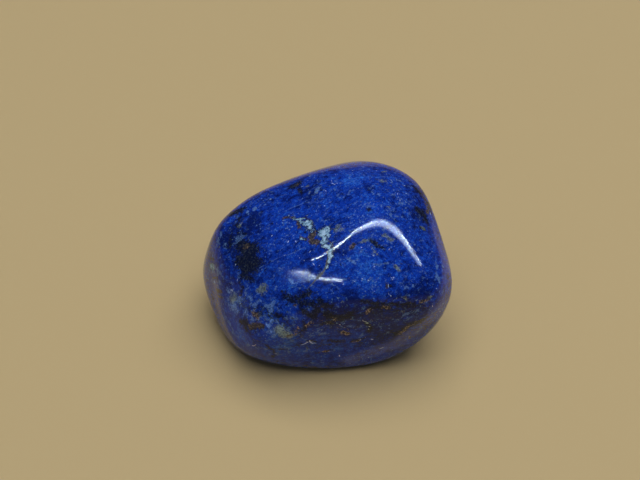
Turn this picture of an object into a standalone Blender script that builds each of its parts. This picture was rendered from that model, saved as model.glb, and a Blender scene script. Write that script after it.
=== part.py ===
"""Tumbled lapis lazuli stone: one solid, worn smooth all round, with a flat that it rests on.

The stone was a broken piece of rock whose flats and corners were ground round in a tumbler. Each flat is
named below with the way that it faces and its distance from the heart of the stone. One smooth formula
joins them: the more the flats are worn, the rounder the edges between them.

Units are metres, +Z is up. The origin is at the centre of the stone's footprint, on the surface under it.
+X runs along the stone, to the right when its broad front flat is seen from the front, and +Y to the back.
"""

import math

import bmesh
import bpy
from mathutils import Vector

MM = 0.001

# Name of each flat: the azimuth and elevation that it faces in degrees, and its distance from the heart in mm.
# Azimuth 0 is +X, 90 is +Y (the back), -90 is the front and 180 is the left end.
FLATS = {
    "underside": (-90, -90, 9.85),
    "crown": (65, 71, 11.5),
    "crown_front": (-61, 84, 12.7),
    "front": (-78, 50, 9.9),
    "top_left": (-150, 70, 8.95),
    "front_undercut": (-83, -8, 9.35),
    "front_left": (-125, 37, 9.5),
    "left_end": (-151, 4, 12.1),
    "left_shoulder": (144, 19, 12.5),
    "right_corner": (-37, -11, 14.25),
    "right_end": (23, -11, 11.65),
    "right_shoulder": (-14, 47, 12.1),
    "back_right": (47, 16, 15.45),
    "back_left": (115, 42, 10.95),
    "back": (64, -1, 11.65),
    "under_front": (-111, -35, 12.65),
    "under_right": (-6, -54, 12.05),
    "under_left": (158, -45, 14.65),
    "under_back": (104, -41, 11.35),
}

# How sharp the worn edges between the flats stay: 2 would be a ball, and 30 a block with crisp edges.
EDGE_SHARPNESS = 11.8

# Shallow hollows that tumbling left: azimuth and elevation in degrees, radius and depth in mm.
HOLLOWS = {
    "beside_the_vein": (-121, 62, 2.6, 0.10),
    "left_of_the_crown": (165, 52, 3.6, 0.14),
    "back_low": (72, 4, 4.2, 0.20),
    "back_upper_left": (128, 22, 3.4, 0.16),
    "right_low": (-8, -18, 3.0, 0.15),
    "underside_left": (-170, -48, 3.2, 0.18),
}

# The stone stands on a small flat: this much of the rounded underside is ground away.
REST_GROUND_OFF = 0.10 * MM

# Cells along each edge of the cube that the stone is shaped from.
CELLS = 26

LAPIS_BLUE = (0.012, 0.040, 0.300, 1.0)
LAPIS_ROUGHNESS = 0.12


def clear_scene():
    for obj in list(bpy.data.objects):
        bpy.data.objects.remove(obj, do_unlink=True)


def facing(azimuth, elevation):
    """The unit vector that points along an azimuth and an elevation in degrees."""
    turn = math.radians(azimuth)
    rise = math.radians(elevation)
    return Vector((math.cos(rise) * math.cos(turn), math.cos(rise) * math.sin(turn), math.sin(rise)))


def worn_reach(direction, flats):
    """How far the stone reaches from its heart along a direction, in mm."""
    total = 0.0
    for normal, distance in flats:
        total += max(direction.dot(normal), 0.0) ** EDGE_SHARPNESS / distance**EDGE_SHARPNESS
    return total ** (-1.0 / EDGE_SHARPNESS)


def hollow_depth(point, hollows):
    """How deep the shallow hollows take the surface in at a point, in mm."""
    depth = 0.0
    for centre, radius, deepest in hollows:
        depth += deepest * math.exp(-((point - centre).length_squared) / radius**2)
    return depth


def shape_stone(mesh):
    """Turns an evenly divided cube into the worn stone, with its heart at the origin."""
    flats = [(facing(azimuth, rise), distance) for azimuth, rise, distance in FLATS.values()]
    hollows = []
    for azimuth, rise, radius, deepest in HOLLOWS.values():
        direction = facing(azimuth, rise)
        hollows.append((direction * worn_reach(direction, flats), radius, deepest))
    for vertex in mesh.verts:
        even = Vector([math.tan(part * math.pi / 4.0) for part in vertex.co])
        direction = even.normalized()
        surface = direction * worn_reach(direction, flats)
        surface -= direction * hollow_depth(surface, hollows)
        vertex.co = surface * MM


def grind_rest(mesh):
    """Cuts the small flat that the stone stands on."""
    lowest = min(vertex.co.z for vertex in mesh.verts)
    parts = mesh.verts[:] + mesh.edges[:] + mesh.faces[:]
    cut = bmesh.ops.bisect_plane(
        mesh,
        geom=parts,
        dist=1e-7,
        plane_co=(0.0, 0.0, lowest + REST_GROUND_OFF),
        plane_no=(0.0, 0.0, 1.0),
        clear_inner=True,
    )
    rim = [part for part in cut["geom_cut"] if isinstance(part, bmesh.types.BMEdge)]
    bmesh.ops.edgeloop_fill(mesh, edges=rim)


def stand_on_origin(mesh):
    """Puts the centre of the footprint, at the height of the rest, at the origin."""
    lows = [min(vertex.co[axis] for vertex in mesh.verts) for axis in range(3)]
    highs = [max(vertex.co[axis] for vertex in mesh.verts) for axis in range(3)]
    centre = Vector(((lows[0] + highs[0]) / 2.0, (lows[1] + highs[1]) / 2.0, lows[2]))
    bmesh.ops.translate(mesh, verts=mesh.verts, vec=-centre)


def lapis_material():
    material = bpy.data.materials.new("lapis")
    material.use_nodes = True
    shader = material.node_tree.nodes["Principled BSDF"]
    shader.inputs["Base Color"].default_value = LAPIS_BLUE
    shader.inputs["Roughness"].default_value = LAPIS_ROUGHNESS
    shader.inputs["Metallic"].default_value = 0.0
    material.diffuse_color = LAPIS_BLUE
    return material


def make_stone():
    mesh = bmesh.new()
    bmesh.ops.create_cube(mesh, size=2.0)
    bmesh.ops.subdivide_edges(mesh, edges=mesh.edges[:], cuts=CELLS - 1, use_grid_fill=True)
    shape_stone(mesh)
    grind_rest(mesh)
    stand_on_origin(mesh)
    bmesh.ops.triangulate(mesh, faces=mesh.faces[:])
    bmesh.ops.recalc_face_normals(mesh, faces=mesh.faces[:])
    data = bpy.data.meshes.new("lapis_stone")
    mesh.to_mesh(data)
    mesh.free()
    data.shade_smooth()
    data.set_sharp_from_angle(angle=math.radians(35.0))
    data.materials.append(lapis_material())
    stone = bpy.data.objects.new("lapis_stone", data)
    bpy.context.scene.collection.objects.link(stone)
    return stone


clear_scene()
make_stone()
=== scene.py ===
"""Polished lapis lazuli stone on a pale stage.

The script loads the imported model, models the stone's fine polished surface around it, gives it a layered
stone finish, and sets the floor, the lights and the camera. It is laid out as an add-on and run as a script.
"""

import math
import random
from collections import namedtuple
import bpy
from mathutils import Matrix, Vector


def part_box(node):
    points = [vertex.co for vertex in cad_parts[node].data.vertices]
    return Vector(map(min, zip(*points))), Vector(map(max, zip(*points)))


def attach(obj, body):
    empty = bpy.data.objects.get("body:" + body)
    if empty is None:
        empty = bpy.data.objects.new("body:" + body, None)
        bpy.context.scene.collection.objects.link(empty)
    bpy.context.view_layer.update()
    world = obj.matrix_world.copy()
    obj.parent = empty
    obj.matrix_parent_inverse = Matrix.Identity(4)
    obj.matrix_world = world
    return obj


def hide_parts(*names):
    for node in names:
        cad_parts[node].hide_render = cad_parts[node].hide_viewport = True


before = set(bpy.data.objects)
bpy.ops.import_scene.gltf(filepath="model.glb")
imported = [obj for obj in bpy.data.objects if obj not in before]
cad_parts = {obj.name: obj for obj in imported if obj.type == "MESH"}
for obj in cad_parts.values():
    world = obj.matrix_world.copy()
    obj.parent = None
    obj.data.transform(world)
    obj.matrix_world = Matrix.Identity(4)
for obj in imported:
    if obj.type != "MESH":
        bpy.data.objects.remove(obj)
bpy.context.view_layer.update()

from types import SimpleNamespace

import bpy
import numpy as np
from bpy.props import FloatProperty, FloatVectorProperty, IntProperty, PointerProperty
from mathutils import Matrix, Vector

bl_info = {
    "name": "Lapis Lazuli Stone",
    "version": (1, 0, 0),
    "blender": (4, 5, 0),
    "location": "3D View > Sidebar > Lapis",
    "description": "Models a polished, tumbled lapis lazuli stone on a pale stage",
    "category": "Add Mesh",
}

STONE_NODE = "lapis_stone"
STONE_PIECE = "polished_stone"
MM = 0.001
BOX_LOW, BOX_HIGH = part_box(STONE_NODE)
STONE_LENGTH = BOX_HIGH.x - BOX_LOW.x

# The heart is where the stone's flats are measured from, a little off the middle of its box.
HEART = Vector((0.365, -1.733, 9.746)) * MM

# The view that the markings are placed in, in pixels, and the side of the stone that it shows
VIEW_WIDTH = 640
VIEW_HEIGHT = 480
VIEW_FACING = (-90.0, 45.0)

SENSOR_WIDTH = 36.0
CAMERA_CLIP = (0.005, 20.0)

# The floor is matt, and a hair below the stone so that the two don't flicker.
FLOOR_GAP = 0.02 * MM
FLOOR_ROUGHNESS = 0.9
FLOOR_SHINE = 0.1

# The soft box, which lights the stone and isn't itself reflected: place and size in metres, and watts
SOFT_BOX_PLACE = Vector((0.08, -0.03, 1.0))
SOFT_BOX_SIZE = (1.1, 0.9)
SOFT_BOX_POWER = 9.4

# The overhead tubes and the glows beside them, which are only reflected: ends and width in metres, and watts
Tube = namedtuple("Tube", "name start end width power shape")
TUBES = (
    Tube("tube_back", (-0.315, -0.145, 0.5), (0.87, 0.130, 0.5), 0.005, 4.3, "RECTANGLE"),
    Tube("glow_back", (0.02, -0.085, 0.5), (0.84, 0.103, 0.5), 0.085, 4.6, "ELLIPSE"),
    Tube("tube_front", (-0.60, -0.340, 0.5), (0.04, -0.466, 0.5), 0.007, 2.8, "RECTANGLE"),
    Tube("glow_front", (-0.74, -0.365, 0.5), (-0.42, -0.345, 0.5), 0.05, 0.7, "ELLIPSE"),
)


# ---------------------------------------------------------------------------------------------------------
# Settings that a user would change
# ---------------------------------------------------------------------------------------------------------


def length_property(name, description, default):
    return FloatProperty(name=name, description=description, default=default, unit="LENGTH", precision=5)


def angle_property(name, description, degrees):
    return FloatProperty(name=name, description=description, default=math.radians(degrees), unit="ROTATION")


def share_property(name, description, default):
    return FloatProperty(name=name, description=description, default=default, min=0.0, max=1.0)


def colour_property(name, description, default):
    return FloatVectorProperty(
        name=name, description=description, default=default, subtype="COLOR", size=3, min=0.0, max=1.0
    )


class LapisStoneSettings(bpy.types.PropertyGroup):
    cells: IntProperty(
        name="Surface cells",
        description="Cells along each edge of the cube that the surface is shaped from",
        default=124,
        min=20,
        max=128,
    )
    polish_passes: IntProperty(
        name="Polish passes",
        description="How often the surface is smoothed once it lies on the solid",
        default=26,
        min=1,
    )
    polish_loss: length_property("Polish loss", "What smoothing takes off, and is put back", 0.045 * MM)
    wave_height: length_property("Wave height", "Height of the slow waves that tumbling leaves", 0.05 * MM)
    wave_length: length_property("Wave length", "Distance between those waves", 3.2 * MM)
    pattern_seed: IntProperty(
        name="Pattern seed",
        description="Changes the markings of the far sides",
        default=7,
    )
    layer_turn: angle_property("Layer turn", "Direction in which the rock's layers run, from the right", 22.0)
    layer_stretch: FloatProperty(
        name="Layer stretch",
        description="How much longer spots are along the layers",
        default=1.35,
    )
    shine: share_property("Shine", "Strength of the polish's reflections", 0.21)
    polish: share_property("Polish", "Roughness where the polish is sound", 0.07)
    texture_share: share_property("Texture share", "Strength of the finest unevenness of the polish", 0.16)
    texture_depth: length_property("Texture depth", "Depth of that unevenness", 0.02 * MM)
    ultramarine: colour_property("Ultramarine", "Main blue of the rock", (0.003, 0.034, 0.384))
    cobalt: colour_property("Cobalt", "Brighter blue of the lively spots", (0.018, 0.115, 0.560))
    navy: colour_property("Navy", "Deep blue between the lively spots", (0.001, 0.009, 0.110))
    bloom: colour_property("Bloom", "Pale blue of the clouded spots", (0.080, 0.172, 0.450))
    black: colour_property("Black", "Near black of the dark patches", (0.002, 0.005, 0.022))
    soot: colour_property("Soot", "Grey olive crumbs within the dark patches", (0.028, 0.036, 0.045))
    umber: colour_property("Umber", "Dark of the brown crumbs", (0.030, 0.027, 0.033))
    gold: colour_property("Gold", "Light of the brown crumbs", (0.160, 0.122, 0.088))
    olive: colour_property("Olive", "Grey green crumbs", (0.150, 0.200, 0.170))
    teal: colour_property("Teal", "Dark of the vein", (0.170, 0.340, 0.540))
    chalk: colour_property("Chalk", "Light of the vein", (0.430, 0.600, 0.800))
    glint: colour_property("Glint", "White grains and scratches", (0.400, 0.560, 0.860))
    # White of grains low on the stone, made brighter than the glint as painted fill light
    white_and_painted_fill: colour_property("Snow", "White grains low on the stone", (0.820, 0.860, 0.920))


class LapisStageSettings(bpy.types.PropertyGroup):
    floor_colour: colour_property("Floor colour", "Pale plain floor", (0.55, 0.42, 0.22))
    floor_size: length_property("Floor size", "Length of the floor's sides", 3.0)
    camera_distance: length_property("Camera distance", "From the stone's heart to the camera", 172.7 * MM)
    camera_rise: angle_property("Camera rise", "How far the camera looks down", 45.0)
    aim_across: length_property("Aim across", "How far left of the heart the camera aims", 0.914 * MM)
    aim_up: length_property("Aim up", "How far above the heart the camera aims", 2.97 * MM)
    lens: FloatProperty(name="Lens", description="Focal length in millimetres", default=85.0)
    room_low: colour_property("Room low", "Light that comes in level, from the walls", (0.12, 0.10, 0.08))
    room_high: colour_property("Room high", "Light that comes from overhead", (0.09, 0.10, 0.11))
    tube_colour: colour_property("Tube colour", "Cool light of the overhead tubes", (0.66, 0.84, 1.0))
    room_fade: share_property("Room fade", "How far up the warm light of the walls reaches", 0.25)


# ---------------------------------------------------------------------------------------------------------
# Small helpers
# ---------------------------------------------------------------------------------------------------------


def deselect_all():
    for obj in bpy.context.selected_objects:
        obj.select_set(False)


def make_active(obj):
    deselect_all()
    obj.select_set(True)
    bpy.context.view_layer.objects.active = obj


def apply_modifier(obj, kind, **settings):
    """Adds a modifier, sets it up and applies it."""
    make_active(obj)
    modifier = obj.modifiers.new(kind.title(), kind)
    for name, value in settings.items():
        setattr(modifier, name, value)
    bpy.ops.object.modifier_apply(modifier=modifier.name)


def facing(azimuth, elevation):
    """The unit vector along an azimuth and an elevation in degrees. Azimuth 0 is +X and -90 is the front."""
    turn = math.radians(azimuth)
    rise = math.radians(elevation)
    return Vector((math.cos(rise) * math.cos(turn), math.cos(rise) * math.sin(turn), math.sin(rise)))


def random_vector(chance):
    """A vector that is as likely to point any way as any other."""
    return Vector((chance.gauss(0, 1), chance.gauss(0, 1), chance.gauss(0, 1)))


# ---------------------------------------------------------------------------------------------------------
# Shader expressions
# ---------------------------------------------------------------------------------------------------------


class Value:
    """A number or a colour that varies over the surface. Python arithmetic on a number adds Math nodes."""

    def __init__(self, shader, socket):
        self.shader = shader
        self.socket = socket

    def __add__(self, other):
        return self.shader.math("ADD", self, other)

    def __sub__(self, other):
        return self.shader.math("SUBTRACT", self, other)

    def __rsub__(self, other):
        return self.shader.math("SUBTRACT", other, self)

    def __mul__(self, other):
        return self.shader.math("MULTIPLY", self, other)

    __radd__ = __add__
    __rmul__ = __mul__

    def step(self, low, high, start=0.0, end=1.0):
        """Rises smoothly from start to end as this value goes from low to high."""
        settings = {"interpolation_type": "SMOOTHSTEP", "clamp": True}
        inputs = {"Value": self, "From Min": low, "From Max": high, "To Min": start, "To Max": end}
        return self.shader.node("ShaderNodeMapRange", settings, inputs, "Result")


class Shader:
    """Builds the nodes of one material or of the room."""

    def __init__(self, owner):
        owner.use_nodes = True
        self.owner = owner
        self.tree = owner.node_tree

    def add(self, kind, settings=None, inputs=None):
        """Adds a node, sets it up, then fills or links its sockets."""
        node = self.tree.nodes.new(kind)
        for name, value in (settings or {}).items():
            setattr(node, name, value)
        for name, value in (inputs or {}).items():
            self.feed(node.inputs[name], value)
        return node

    def feed(self, socket, value):
        """Fills a socket with a value, or links it to where the value comes from."""
        if isinstance(value, Value):
            value = value.socket
        if isinstance(value, bpy.types.NodeSocket):
            self.tree.links.new(value, socket)
        else:
            socket.default_value = value

    def node(self, kind, settings, inputs, output=0):
        return Value(self, self.add(kind, settings, inputs).outputs[output])

    def math(self, operation, *values):
        return self.node("ShaderNodeMath", {"operation": operation}, dict(enumerate(values)))

    def vector(self, operation, *values, output="Vector", **named):
        inputs = dict(enumerate(values)) | named
        return self.node("ShaderNodeVectorMath", {"operation": operation}, inputs, output)

    def blend(self, factor, low, high):
        """A colour that goes from low to high as factor goes from 0 to 1."""
        inputs = {0: factor, 6: paint(low), 7: paint(high)}
        return self.node("ShaderNodeMix", {"data_type": "RGBA"}, inputs, 2)

    def dim(self, colour, strength):
        """A colour with its strength changed."""
        return self.vector("SCALE", colour, Scale=strength)

    def noise(self, place, scale, detail=2.0, roughness=0.5, output="Fac"):
        """Noise with about that many lumps in each millimetre."""
        inputs = {"Vector": place, "Scale": scale, "Detail": detail, "Roughness": roughness}
        return self.node("ShaderNodeTexNoise", {}, inputs, output)

    def warp(self, place, scale, reach, detail=2.0):
        """Moves the place about by up to about reach millimetres, to make outlines ragged."""
        shift = self.vector("SUBTRACT", self.noise(place, scale, detail, output="Color"), (0.5, 0.5, 0.5))
        return self.vector("ADD", place, self.vector("SCALE", shift, Scale=2.0 * reach))

    def field(self, name):
        """A number that was painted onto the stone."""
        return self.node("ShaderNodeAttribute", {"attribute_name": name}, {}, "Fac")

    def grains(self, name, wobble, low, high):
        """1 inside the thin grains that were painted under a name, and 0 outside them."""
        attribute = self.add("ShaderNodeAttribute", {"attribute_name": name + "_place"})
        far = self.vector("LENGTH", attribute.outputs["Vector"], output="Value")
        inside = (far + wobble).step(low, high, start=1.0, end=0.0)
        return inside * self.field(name + "_gap").step(*GRAIN_REACH, start=1.0, end=0.0)


def paint(colour):
    """A colour tuple with its alpha, or a varying colour as it is."""
    if isinstance(colour, (Value, bpy.types.NodeSocket)):
        return colour
    return (*colour[:3], 1.0)


# ---------------------------------------------------------------------------------------------------------
# The stone's markings
#
# A mark is a line through its places, or a dot at each of them. The places are in the camera's view, in
# pixels across and down. Each is carried along the line of sight onto the stone, so the mark lies in the
# surface and looks right from any side. Its field has the mark's strength on the line or the dot and falls
# by 1 over each width, and below 0 the stone is bare.
# ---------------------------------------------------------------------------------------------------------

Mark = namedtuple("Mark", "name width strength places joined")
Fleck = namedtuple("Fleck", "name width places")
FarMark = namedtuple("FarMark", "field count width strength stride")


def line(name, width, strength, *places):
    """A mark along a line through its places, with its width in millimetres."""
    return Mark(name, width * MM, strength, places, True)


def dots(name, width, strength, *places):
    """A mark with a dot at each place, with its width in millimetres."""
    return Mark(name, width * MM, strength, places, False)


def fleck(name, width, start, end):
    """A thin grain from start to end, with half its width in millimetres."""
    return Fleck(name, width * MM, (start, end))


# White and cyan calcite of the vein
CHALK = (
    line("strip_white", 0.24, 1.5, (210.5, 266.6), (213.6, 267.4)),
    line("vein_bar", 0.17, 0.9, (294, 218.4), (298, 219.6), (304, 218.6)),
    line("vein_diagonal", 0.17, 1.0, (299.5, 221), (303.5, 225.2)),
    line("vein_block", 0.34, 1.25, (306.4, 222.3), (309.3, 224), (309.3, 226.6)),
    line("vein_drip", 0.23, 1.0, (310.5, 228), (312.5, 231)),
    line("vein_islet", 0.13, 0.9, (301, 238.8), (303.5, 239.2)),
    line("cyan_patch", 0.31, 1.5, (321.8, 231.2), (325.8, 230.4), (325.2, 234.4), (322.6, 234.8)),
    line("cyan_neck", 0.30, 1.2, (324.4, 237), (324.8, 241)),
    line("tail_knee", 0.29, 1.0, (322.6, 243.6), (326, 246.4)),
    line("tail", 0.25, 1.2, (328.6, 247), (330.8, 251), (330.4, 256)),
    line("tail_end", 0.13, 1.15, (330, 257), (328.4, 262), (326.6, 268)),
    dots("vein_crumbs", 0.11, 0.9, (288.5, 216), (294, 218.4), (306.6, 215.4), (329, 236), (332.6, 242.6)),
)

# Brown, tan and gold crumbs
RUST = (
    line("shade_sprinkle", 3.0, -0.22, (320, 320), (350, 330), (385, 318), (425, 306)),
    line("foot_sprinkle", 2.5, -0.30, (255, 340), (300, 350), (350, 348)),
    line("low_left_sprinkle", 3.0, -0.25, (240, 315), (262, 325), (300, 335)),
    line("vein_start", 0.18, 1.0, (283, 218.6), (288, 217), (294, 217.6)),
    line("vein_brown", 0.21, 1.2, (297.6, 221), (299.4, 227)),
    line("vein_patch", 0.36, 1.2, (314, 233), (311.5, 237), (311.5, 241), (317, 242.5)),
    line("vein_mouth", 0.18, 1.0, (301, 237.4), (306.5, 239.5)),
    line("vein_lip", 0.15, 1.0, (304, 217), (311, 221), (313, 226)),
    line("tail_left", 0.11, 1.0, (320.6, 245.6), (327, 250), (328, 258), (326, 268)),
    line("tail_right", 0.13, 1.0, (328.6, 241), (333, 245), (333.4, 251)),
    line("top_core", 0.20, 0.9, (296, 185.4), (297.5, 184.6)),
    line("left_core", 0.30, 1.0, (244.6, 247), (247.6, 245.6)),
    line("left_strip", 0.24, 1.1, (216.5, 290), (221.5, 291.5)),
    line("left_strip_low", 0.22, 1.0, (218, 296), (222, 297)),
    line("low_left_gold", 0.28, 1.4, (250, 326.6), (256, 325.4), (262, 325.8)),
    line("low_left_brown", 0.34, 1.3, (254, 313.5), (257, 316.5)),
    line("low_left_red", 0.20, 0.7, (239.2, 293), (240, 296)),
    line("black_spot_core", 0.16, 0.9, (278.5, 314.8), (280, 315.2)),
    line("low_streak", 0.20, 0.9, (298.5, 326.5), (296.5, 331), (294.8, 335)),
    line("low_olive_edge", 0.24, 0.8, (287, 336.5), (291.5, 335)),
    line("low_brown", 0.28, 0.9, (306, 326), (311, 322.5)),
    line("haze_tan", 0.16, 0.9, (294, 304.8), (297, 305.8)),
    line("shade_brown", 0.28, 0.8, (332, 318.5), (335.5, 319.5)),
    line("shade_gold", 0.28, 1.0, (366.5, 312.5), (370.5, 309.5)),
    line("shade_rim", 0.28, 1.0, (383.5, 307), (388.5, 307.5)),
    line("shade_orange", 0.28, 1.3, (343.5, 332.6), (348.5, 333.6)),
    line("shade_low", 0.26, 0.9, (353, 341.5), (358.5, 340.5)),
    line("foot_brown", 0.22, 0.8, (320, 352.8), (324, 351.5), (330, 351)),
    line("right_streak", 0.40, 0.6, (405, 329), (410, 325), (418, 321)),
    line("right_gold", 0.30, 0.9, (400, 334), (404, 331), (408, 327)),
    line("right_red", 0.16, 1.0, (409.4, 336.8), (409.6, 338.4)),
    line("ridge_brown", 0.26, 1.0, (420.5, 302.5), (425, 300.5), (428, 299.5)),
    line("limb_gold", 0.28, 1.0, (425, 203.5), (428.8, 207.5), (427, 212.5)),
    line("arc_gold", 0.24, 1.2, (351, 248), (353.6, 245)),
    line("low_right_brown", 0.18, 0.8, (387, 283.5), (386.8, 287.5)),
    dots("ridge_crumbs", 0.16, 0.9, (411, 303), (394, 304.3), (405.5, 297.6), (382.5, 308)),
    dots("shade_crumbs", 0.15, 0.8, (350.8, 319.3), (309.8, 297), (303, 292), (432, 319), (322, 307)),
    dots("foot_crumbs", 0.18, 0.6, (335.5, 341), (326, 345), (258, 341), (282, 348.5)),
    dots("arc_crumbs", 0.13, 0.8, (389.6, 249.6), (376.5, 243), (405.6, 279.4), (348.5, 278.4)),
)

# Pale olive and green grey crumbs
OLIVE = (
    line("back_sprinkle", 2.6, -0.30, (316, 196), (335, 192), (372, 186), (392, 190), (400, 210)),
    line("arc_sprinkle", 2.0, -0.35, (345, 248), (368, 244), (388, 246), (398, 262)),
    line("left_top", 0.17, 1.0, (239, 226.8), (241.8, 222.6)),
    line("left_core", 0.22, 0.5, (244.6, 247), (247.6, 245.6)),
    line("strip_pale", 0.22, 0.6, (210.5, 263.5), (219, 265.5)),
    line("strip_pale_2", 0.24, 0.6, (211, 273), (220, 275)),
    line("strip_pale_3", 0.20, 0.6, (213.5, 283.5), (219, 285.5)),
    line("strip_top", 0.24, 0.6, (213, 246), (219, 247)),
    line("low_patch", 0.48, 1.6, (279.5, 330.5), (283, 334), (287.5, 335)),
    line("low_left_pale", 0.42, 1.5, (260.5, 290), (263.5, 288.5)),
    line("left_low", 0.42, 1.4, (231.5, 299.5), (235, 296.5)),
    line("gold_end", 0.13, 1.2, (251.4, 326.6), (253, 326.2)),
    line("low_speck", 0.20, 0.8, (310, 323), (312, 322)),
    line("arc_ring", 0.24, 0.9, (362, 241.5), (365.5, 240.5)),
    line("arc_speckle", 0.28, 1.1, (384.8, 235.6), (388, 238), (392.5, 239.5)),
    line("arc_streak", 0.18, 0.9, (372, 247), (374.5, 251.5), (377, 254)),
    line("arc_low", 0.30, 1.0, (396, 266), (398.5, 269.5)),
    line("before_arc", 0.36, 0.9, (336, 231), (338, 226.5), (341.5, 229.5)),
    line("back_right", 0.36, 0.9, (380.5, 180.5), (385, 181.5)),
    line("back_rim", 0.20, 0.8, (382.5, 172.3), (386.5, 171)),
    line("back_low", 0.24, 0.7, (386.5, 207), (389.5, 206.6)),
    line("right_grey", 0.26, 0.9, (422, 227.6), (424.5, 229)),
    line("back_teal", 0.22, 0.9, (305.5, 187), (308, 185.6)),
    line("ridge_olive", 0.24, 0.7, (403.5, 297.5), (406.5, 299.5)),
    line("ridge_grey", 0.24, 0.9, (429.5, 297.5), (431.5, 296.5)),
    line("shade_olive", 0.16, 0.9, (341.5, 303), (342.8, 301.5)),
    line("squeeze", 0.15, 1.0, (366, 322.6), (368, 323.2)),
    dots("crumbs_back", 0.14, 0.8,
        (317.5, 193), (309.3, 192.4), (377.5, 184), (370.8, 193.8), (394.9, 193.8),
    ),
    dots("crumbs_front", 0.14, 0.8, (395.8, 298.6), (329, 314), (416.5, 300.5), (334, 297), (309, 296)),
    dots("crumbs_vein", 0.13, 0.8,
        (313, 224.6), (319.4, 241.5), (326.5, 240), (331, 236.5), (292.5, 214.5),
    ),
)

# Black and brown black patches
MURK = (
    line("shade_sprinkle", 2.2, 0.0, (300, 306), (330, 314), (370, 312), (420, 306)),
    line("low_left_sprinkle", 2.2, 0.2, (240, 305), (262, 312), (285, 322), (300, 335)),
    line("foot_sprinkle", 2.5, -0.05, (250, 330), (300, 345), (350, 345), (400, 330)),
    line("left_sprinkle", 1.5, 0.10, (238, 220), (242, 250), (249, 274)),
    line("left_patch", 0.56, 1.7, (243, 247), (253, 249), (247, 257), (255, 263), (246, 268), (241, 262)),
    line("left_patch_foot", 0.45, 0.9, (248, 271), (242, 276), (252, 279)),
    line("left_dip", 0.30, 0.8, (239.5, 282.5), (243, 288), (241, 293)),
    line("left_dark", 0.50, 0.6, (231, 233), (230.5, 247)),
    line("strip_dark", 0.22, 0.9, (210, 258.5), (214, 259.5)),
    line("strip_dark_low", 0.20, 0.9, (213, 277.5), (218, 278.5)),
    line("left_notch", 0.16, 1.0, (243.5, 233.5), (245.5, 234.5)),
    line("corner_patch", 0.46, 1.25, (231.5, 214), (236, 211.5), (241, 210)),
    line("corner_streak", 0.15, 1.3, (241, 216.5), (239, 221), (236.8, 225.5)),
    line("back_patch", 0.42, 1.25, (292, 187), (297.5, 183.8)),
    line("back_patch_tail", 0.22, 1.0, (298.5, 189), (301.5, 193)),
    line("back_dot", 0.20, 1.3, (368.6, 209.4), (369.4, 209.6)),
    line("limb_patch", 0.50, 1.2, (418.5, 210.5), (423, 213.5), (425.5, 219.5)),
    line("limb_upper", 0.34, 0.9, (424.5, 199.5), (429, 204), (430.5, 211)),
    line("limb_far", 0.55, 0.6, (414, 187), (421, 194)),
    line("limb_ring", 0.22, 1.0, (420.3, 227.4), (425, 229.5)),
    line("arc_dark", 0.32, 0.9, (371, 240.5), (375, 243.5), (377, 246)),
    line("arc_dark_low", 0.22, 0.8, (380, 246.5), (384, 249)),
    line("vein_shadow", 0.17, 0.9, (315, 228.5), (317.5, 232.5)),
    line("vein_under", 0.14, 0.6, (301.5, 229.4), (306, 232.6)),
    line("mottle_left", 0.42, 1.1, (286, 296), (293, 300.5), (302, 296.5), (309, 293)),
    line("mottle_middle", 0.46, 1.1, (300, 304), (310, 303), (318, 309), (313, 316), (303, 311)),
    line("mottle_right", 0.42, 1.1, (319, 300), (324, 305), (331, 306.5)),
    line("shade_left", 0.75, 0.9, (326, 314), (334, 318), (344, 317.5), (350, 314.5)),
    line("shade_ridge", 0.36, 0.9, (363, 301.5), (376, 303.5), (388, 304), (400, 304.5), (413, 303.5)),
    line("shade_band", 0.45, 0.8, (369, 308), (380, 307), (391, 308.5)),
    line("shade_right", 0.50, 0.5, (395, 311), (406, 307.5), (418, 306)),
    line("shade_mouth", 0.32, 0.9, (366, 323.5), (371, 326.5), (369, 331)),
    line("shade_foot", 0.40, 0.6, (391, 331), (396, 334)),
    line("low_dark_left", 0.32, 0.8, (329, 340.5), (336, 341), (343, 341)),
    line("low_dark_middle", 0.34, 0.8, (340, 331.5), (346, 333), (352, 334)),
    line("low_dark_right", 0.30, 0.8, (352, 341), (358, 340), (363, 338.5)),
    line("foot_dark_right", 0.30, 0.7, (316, 352.5), (323, 352), (331, 350)),
    line("shade_dark_left", 0.40, 0.7, (321, 325), (327, 322), (333, 324)),
    line("right_band", 0.50, 1.0, (396, 334), (405, 328.5), (414, 323), (424, 319)),
    line("low_left_patch", 0.46, 1.2, (241, 321.5), (246, 322.5), (246, 328.5)),
    line("low_left_spot", 0.30, 1.0, (256, 313.5), (261.5, 313.5)),
    line("low_left_string", 0.26, 0.8, (249, 329), (257, 328.5), (264, 327)),
    line("black_spot", 0.32, 1.2, (277, 315.5), (281, 315.5)),
    line("foot_streak", 0.40, 0.6, (266, 345), (269, 348), (275, 351), (273, 357)),
    line("crack_lip_left", 0.14, 1.0, (297, 344.8), (302, 343.4)),
    line("crack_lip", 0.13, 1.1, (307, 340.6), (311, 340.6), (316, 341.6)),
    line("crack_right", 0.26, 1.0, (332.5, 341), (339.5, 342)),
    line("low_ring", 0.22, 0.9, (303, 322), (306, 328), (301.5, 331)),
    line("foot_dark", 0.24, 0.8, (279.5, 349), (286, 349.5)),
    line("low_right_eye", 0.20, 0.9, (386.7, 285), (391, 286)),
    dots("back_dark_dots", 0.16, 0.8,
        (311.3, 198.4), (382.9, 183.8), (262.8, 211.3), (272.7, 223.4), (407, 222.5),
    ),
    dots("arc_dark_dots", 0.15, 0.8, (362, 234), (391, 249.6), (350, 231.5), (341, 264.5), (331.5, 287.5)),
    dots("low_dark_dots", 0.17, 0.8,
        (267.6, 290.6), (271.5, 287.5), (282, 291), (287, 304.6), (300.5, 335),
    ),
)

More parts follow.
